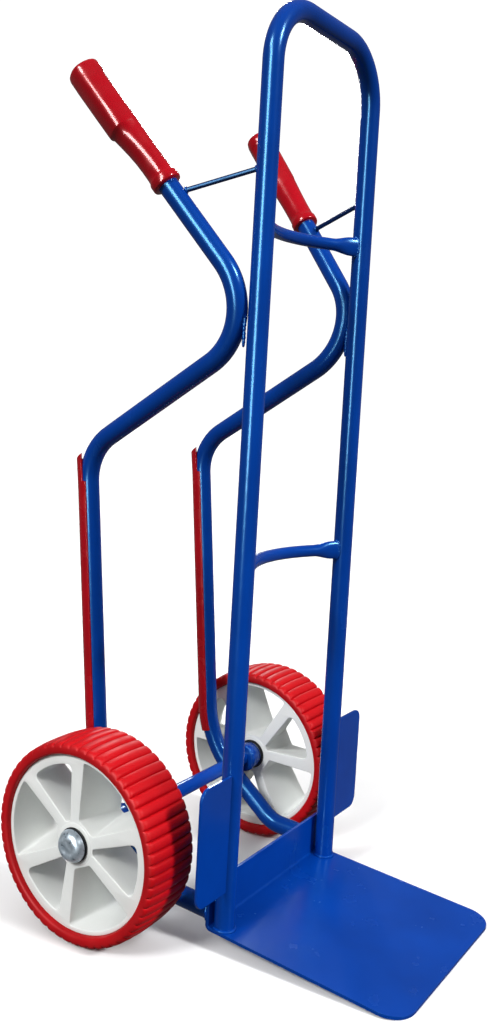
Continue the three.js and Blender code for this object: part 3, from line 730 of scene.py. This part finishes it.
WASHER_R = 18
WASHERS = {"inner": (-39.5, -37.9), "outer": (37.9, 39.5)}
SLEEVE_OVERLAP = 3  # how far the sleeve reaches in past the side tube's outer side
SLEEVE_START = SIDE_X + TUBE_R - SLEEVE_OVERLAP - WHEEL_MIDDLE_X
SLEEVE_END = -39.8

for name, side in SIDES.items():
    wheel = f"{name}_wheel"
    piece(f"{name}_ribbed_tyre", tyre(side), "red_tyre", wheel, f"{name}_tyre", sharp=70)
    piece(f"{name}_spoked_rim", rim(side, POCKET_TURN[name]), "white_plastic", wheel, f"{name}_rim", sharp=30)
    piece(f"{name}_push_cap", cap(side), "zinc", "frame", f"{name}_cap", sharp=50)
    for word, sign in (("inner", -1), ("outer", 1)):
        piece(f"{name}_{word}_hub_bush", bush(side, sign), "nylon", wheel, f"{name}_{word}_bush")
        washer = turned(rounded(BORE_R, WASHER_R, *WASHERS[word], 0.4), side, closed=True)
        piece(f"{name}_{word}_plain_washer", washer, "zinc", "frame", f"{name}_{word}_washer")
    sleeve = turned(rounded(BORE_R, SLEEVE_R, SLEEVE_START, SLEEVE_END, 1.0), side, closed=True)
    piece(f"{name}_axle_spacer", sleeve, "blue_paint", "frame", f"{name}_axle_sleeve")

axle_ends = [Vector((x, WHEEL_Y, WHEEL_Z)) for x in (-AXLE_END_X, AXLE_END_X)]
piece("axle_bar", tube(axle_ends, AXLE_R, (0, 0, 1)), "blue_paint", "frame", "axle", bevel=1.0)


# ---- grips ----

# (share of the length, half depth on the palm side, half depth on top, half width, squareness)
GRIP_SECTIONS = ((0, 16.6, 16.6, 16.6, 2), (0.005, 17.9, 17.8, 17.9, 2), (0.013, 18.4, 18.2, 18.4, 2),
                 (0.051, 18.4, 18.2, 18.4, 2), (0.061, 17.8, 17.4, 17.8, 2), (0.07, 16.6, 15.8, 16.9, 2),
                 (0.102, 16, 15.1, 16.7, 2), (0.176, 15.8, 14.8, 16.7, 2), (0.251, 16, 14.6, 16.9, 2.1),
                 (0.326, 17.2, 14.6, 17.3, 2.2), (0.401, 19.2, 14.6, 17.8, 2.3),
                 (0.471, 21, 14.6, 18.3, 2.5), (0.481, 22.6, 14.7, 18.8, 2.8), (0.492, 23, 14.7, 19, 2.9),
                 (0.701, 23, 14.8, 19, 2.9), (0.888, 22.8, 14.8, 19, 2.9), (0.901, 22.9, 16.4, 19.4, 2.7),
                 (0.909, 23, 17.2, 19.5, 2.6), (0.973, 23, 17.4, 19.5, 2.5),
                 (0.989, 22.3, 16.8, 18.8, 2.4), (0.998, 20.5, 15, 17, 2.3), (1, 17, 12, 14, 2.2))


GRIP_SIDES = 56
GRIP_ROLL = 1.2  # how far the sections are rolled about the handle, as a slope


def grip(side):
    """Rings of rounded squares on the palm side and ellipses on top."""
    along = (handle_point(side, 1) - handle_point(side, 0)).normalized()
    across = Vector((side, 0, -GRIP_ROLL)).cross(along).normalized()
    palm = along.cross(across)
    rings = []
    for s, low, top, wide, power in GRIP_SECTIONS:
        centre = handle_point(side, GRIP_START + GRIP_LENGTH * s)
        ring = []
        for j in range(GRIP_SIDES):
            t = 2 * math.pi * j / GRIP_SIDES
            c, d = math.cos(t), math.sin(t)
            p = power if c > 0 else 2
            u = math.copysign(abs(c) ** (2 / p), c) * (low if c > 0 else top)
            v = math.copysign(abs(d) ** (2 / p), d) * wide
            ring.append(centre + palm * u + across * v)
        rings.append(ring)
    return Shape().skin(rings)


for name, side in SIDES.items():
    piece(f"{name}_hand_grip", grip(side), "red_plastic", "frame", f"{name}_grip", sharp=50)


# ---- skid strips and rivets ----

SKID_GAP = 0.25  # between the strip and the tube
SKID_STEPS = 28


def rail_slope():
    """How far to the rear the rail leans per unit of height."""
    return (RAIL_CORNER[0] - ELBOW_CORNER[0]) / (RAIL_CORNER[1] - ELBOW_CORNER[1])


def rail_point(side, z):
    """A point of the line of the rail's upper, straight part."""
    return Vector((side * SIDE_X, ELBOW_CORNER[0] + rail_slope() * (z - ELBOW_CORNER[1]), z))


def skid_section(wrap):
    """A round channel that hugs the back of the tube, as (across, rearward)."""
    inner = TUBE_R + SKID_GAP
    lip = math.radians(wrap)
    turns = [-lip + (math.pi + 2 * lip) * i / SKID_STEPS for i in range(SKID_STEPS + 1)]
    outer_r = SKID_R - SKID_THINNING
    outer = [(outer_r * math.cos(a), outer_r * math.sin(a) + SKID_THINNING) for a in turns]
    return outer + [(inner * math.cos(a), inner * math.sin(a)) for a in reversed(turns)]


def skid_strip(side):
    """Straight past the tube's elbow, with its lips cut back there; below, it follows the tube."""
    top = [(rail_point(side, z), 0) for z in (SKID_TOP_Z, SKID_LIP_Z + 0.6)]
    bend_top = RAIL_CORNER[1] + RAIL_CORNER[2] / 2
    low = [p for p in side_path(side) if SKID_BOTTOM_Z < p.z < bend_top and p.y > RAIL_CORNER[0] - 60]
    foot = low[-1] + (low[-1] - low[-2]).normalized() * (low[-1].z - SKID_BOTTOM_Z)
    path = top + [(p, SKID_WRAP) for p in (rail_point(side, SKID_LIP_Z), *low, foot)]
    rings = []
    for (point, rear, _, _), (_, wrap) in zip(frames([p for p, _ in path], (0, 1, 0)), path):
        drop = SKID_TOP_CUT / SKID_R if point.z == SKID_TOP_Z else 0
        section = skid_section(wrap)
        rings.append([point + Vector((u, 0, -drop * max(v, 0))) + rear * v for u, v in section])
    return Shape().skin(rings)


def rivet(side, z):
    """A low domed head on a short shank."""
    centre = rail_point(side, z)
    rear = Vector((0, 1, -rail_slope())).normalized()
    up = Vector((1, 0, 0)).cross(rear)
    head = ((4.2, 0), (4.4, 0.3), (4.0, 0.9), (3.0, 1.25), (1.3, 1.3))
    profile = [(2, 9), (2, RIVET_SEAT), *((r, RIVET_SEAT + rise) for r, rise in head)]
    rings = []
    for radius, out in profile:
        rings.append(loop_points(centre + rear * out, (1, 0, 0), up, radius, radius, 28))
    return Shape().skin(rings)


for name, side in SIDES.items():
    piece(f"{name}_skid_rail", skid_strip(side), "red_plastic", "frame", f"{name}_skid_strip", sharp=45,
          bevel=0.5)
    for word, z in zip(("lower", "upper"), RIVET_Z):
        piece(f"{name}_{word}_rivet_head", rivet(side, z), "zinc", "frame", f"{name}_{word}_rivet")


# ---- floor, light and camera ----

FLOOR_HALF = 12  # metres


def make_floor():
    """A pale floor that takes shadows, and neither lights the truck nor shows in its paint."""
    corners = ((-1, -1), (1, -1), (1, 1), (-1, 1))
    mesh = bpy.data.meshes.new("floor")
    mesh.from_pydata([(x * FLOOR_HALF, y * FLOOR_HALF, 0) for x, y in corners], [], [(0, 1, 2, 3)])
    floor = bpy.data.objects.new("floor", mesh)
    bpy.context.scene.collection.objects.link(floor)
    material, tree, shader, coords = new_material("pale_floor", 0.7)
    tone = ramp(tree, noise(tree, coords, 3, 2), (0.3, (0.84, 0.84, 0.85)), (0.7, (0.88, 0.88, 0.88)))
    tree.links.new(tone, shader.inputs["Base Color"])
    mesh.materials.append(material)
    floor.visible_glossy = False
    floor.visible_diffuse = False


def direction(azimuth, elevation):
    """Unit vector towards a place, with the azimuth from the front, both in radians."""
    flat = math.cos(elevation)
    return Vector((math.sin(azimuth) * flat, -math.cos(azimuth) * flat, math.sin(elevation)))


def sun(name, azimuth, elevation, spread, strength, glossy=True):
    """A soft light from far away. Azimuth is measured from the front, as the camera's is."""
    light = bpy.data.lights.new(name, "SUN")
    light.energy = strength
    light.angle = math.radians(spread)
    obj = bpy.data.objects.new(name, light)
    turn, tilt = math.radians(azimuth), math.radians(elevation)
    towards = direction(turn, tilt)
    obj.rotation_euler = towards.to_track_quat("Z", "Y").to_euler()
    obj.visible_glossy = glossy
    bpy.context.scene.collection.objects.link(obj)


def strip_light(name, place, target, size, power):
    """A tall lamp that only shows as a streak in glossy surfaces."""
    light = bpy.data.lights.new(name, "AREA")
    light.shape = "RECTANGLE"
    light.size, light.size_y = size
    light.energy = power
    obj = bpy.data.objects.new(name, light)
    obj.location = place
    obj.rotation_euler = (Vector(target) - Vector(place)).to_track_quat("-Z", "Y").to_euler()
    obj.visible_diffuse = False
    bpy.context.scene.collection.objects.link(obj)


CAMERA_PLACE = (-1133.82, -641.37, 692.21)
CAMERA_AIM = (-55.59, 5.34, 3.02)  # azimuth from the front, elevation and roll, in degrees
CAMERA_LENS = 35.8235
CAMERA_SHIFT = (0.02935, -0.04393)


def make_camera():
    azimuth, elevation, roll = (math.radians(a) for a in CAMERA_AIM)
    back = direction(azimuth, elevation)
    right = Vector((math.cos(azimuth), math.sin(azimuth), 0))
    up = back.cross(right)
    rolled_right = right * math.cos(roll) + up * math.sin(roll)
    rolled_up = up * math.cos(roll) - right * math.sin(roll)
    turn = Matrix((rolled_right, rolled_up, back)).transposed().to_4x4()
    data = bpy.data.cameras.new("camera")
    data.lens = CAMERA_LENS
    data.shift_x, data.shift_y = CAMERA_SHIFT
    data.clip_end = 60
    camera = bpy.data.objects.new("camera", data)
    camera.matrix_world = Matrix.Translation(put(CAMERA_PLACE)) @ LEAN.to_3x3().to_4x4() @ turn
    bpy.context.scene.collection.objects.link(camera)
    bpy.context.scene.camera = camera


SURROUND_SEEN, SURROUND_LIGHT = 1.1, 0.14


def make_world():
    """A surround that the camera sees as white, and that lights the truck only a little."""
    world = bpy.data.worlds.new("studio")
    bpy.context.scene.world = world
    world.use_nodes = True
    tree = world.node_tree
    background = tree.nodes["Background"]
    background.inputs["Color"].default_value = (1, 1, 1, 1)
    path = tree.nodes.new("ShaderNodeLightPath")
    strength = level(tree, path.outputs["Is Camera Ray"], 0, 1, SURROUND_LIGHT, SURROUND_SEEN)
    tree.links.new(strength, background.inputs["Strength"])


make_floor()
make_world()
sun("front_key", 4, 34, 9, 3.0)
sun("left_key", -98, 38, 16, 2.4)
sun("top_fill", -50, 72, 80, 1.1, glossy=False)
sun("rear_fill", 130, 35, 100, 0.8, glossy=False)
strip_light("left_strip", (-2.9, -0.3, 1.4), (0, 0, 0.6), (0.8, 2.4), 210)
strip_light("rear_strip", (2.5, 1.7, 2.0), (0, -0.1, 0), (0.14, 1.3), 30)
make_camera()
bpy.context.scene.view_settings.view_transform = "Standard"
